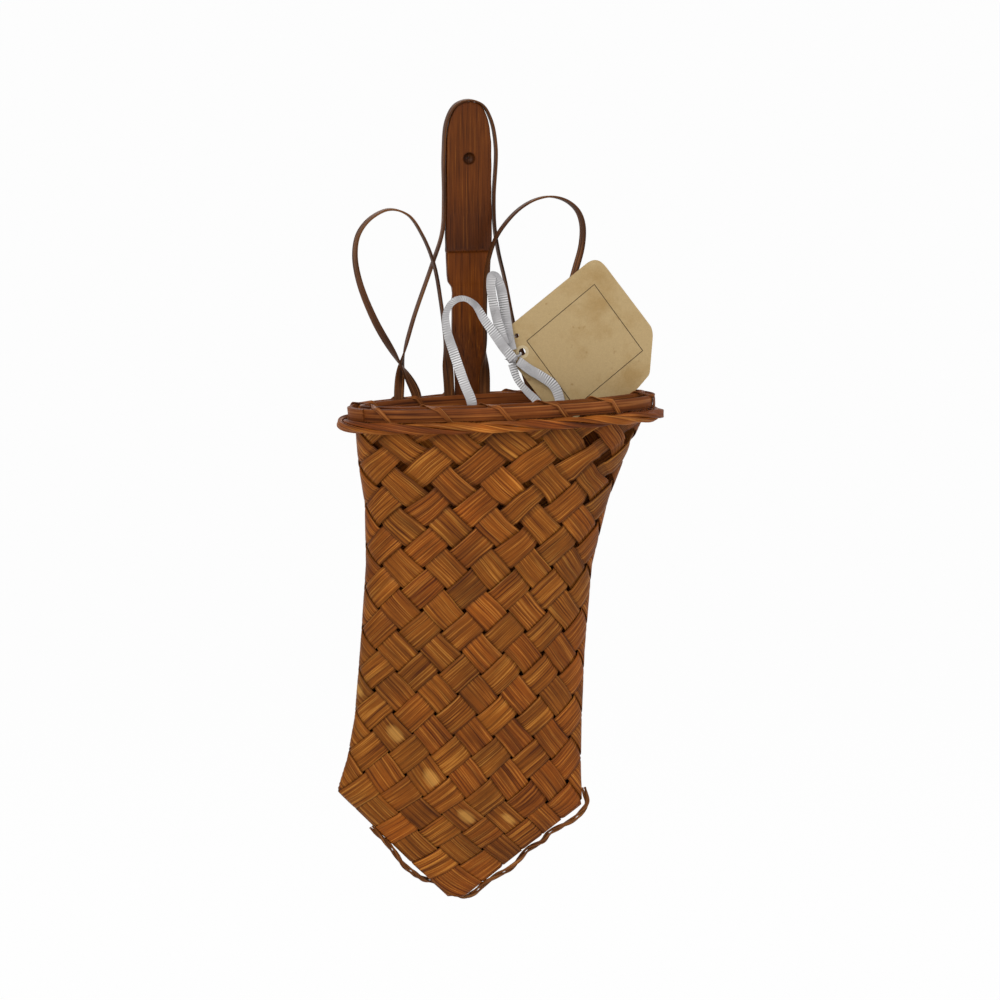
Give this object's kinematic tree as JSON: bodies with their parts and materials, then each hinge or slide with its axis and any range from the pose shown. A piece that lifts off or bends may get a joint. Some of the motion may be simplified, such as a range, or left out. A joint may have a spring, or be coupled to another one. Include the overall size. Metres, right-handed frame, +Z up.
{
  "type": "wall pocket basket",
  "caption": "Tall plaited splint wall pocket with a V bottom, lashed hoop rim, bamboo hanging stake with nail hole, bent strip loops and a card tag that swings on its ribbon.",
  "frame": {"origin": "on the stake's flat back face, 10 mm below the centre of the nail hole", "axes": "+Z up along the stake, +Y out of the back towards the wall, +X to the right as seen from the front"},
  "size_m": [0.1681, 0.0858, 0.4037],
  "materials": {
    "splint": "dry stained splint, satin",
    "hoop": "stained bent wood, satin",
    "lashing": "split strip, satin",
    "twist_a": "split strip, satin",
    "twist_b": "split strip, satin",
    "stake": "stained bamboo slat, satin",
    "strip": "dark split strip, satin",
    "base_strand": "split strip, satin",
    "tag": "uncoated cream card",
    "ribbon": "crimped curling ribbon, translucent white"
  },
  "bodies": {
    "basket": {"splint_right_1": "splint", "splint_left_1": "splint", "splint_right_2": "splint", "splint_left_2": "splint", "splint_right_3": "splint", "splint_left_3": "splint", "splint_right_4": "splint", "splint_left_4": "splint", "splint_right_5": "splint", "splint_left_5": "splint", "splint_right_6": "splint", "splint_left_6": "splint", "rim_hoop_inner": "hoop", "rim_hoop_outer": "hoop", "rim_lashing": "lashing", "rim_twist_a": "twist_a", "rim_twist_b": "twist_b", "stake": "stake", "centre_hoop": "strip", "loop_left": "strip", "loop_right": "strip", "base_strand_a": "base_strand", "base_strand_b": "base_strand", "ribbon_knot": "ribbon", "ribbon_loop": "ribbon", "ribbon_tail_left": "ribbon", "ribbon_tail_middle": "ribbon", "ribbon_tail_right": "ribbon"},
    "tag_card": {"tag": "tag"}
  },
  "joints": [
    {"name": "tag_swing", "type": "hinge", "parent": "basket", "child": "tag_card", "pos_m": [0.0179, -0.042, -0.0842], "axis": [0, -1, 0], "range_deg": [0, 30]}
  ]
}
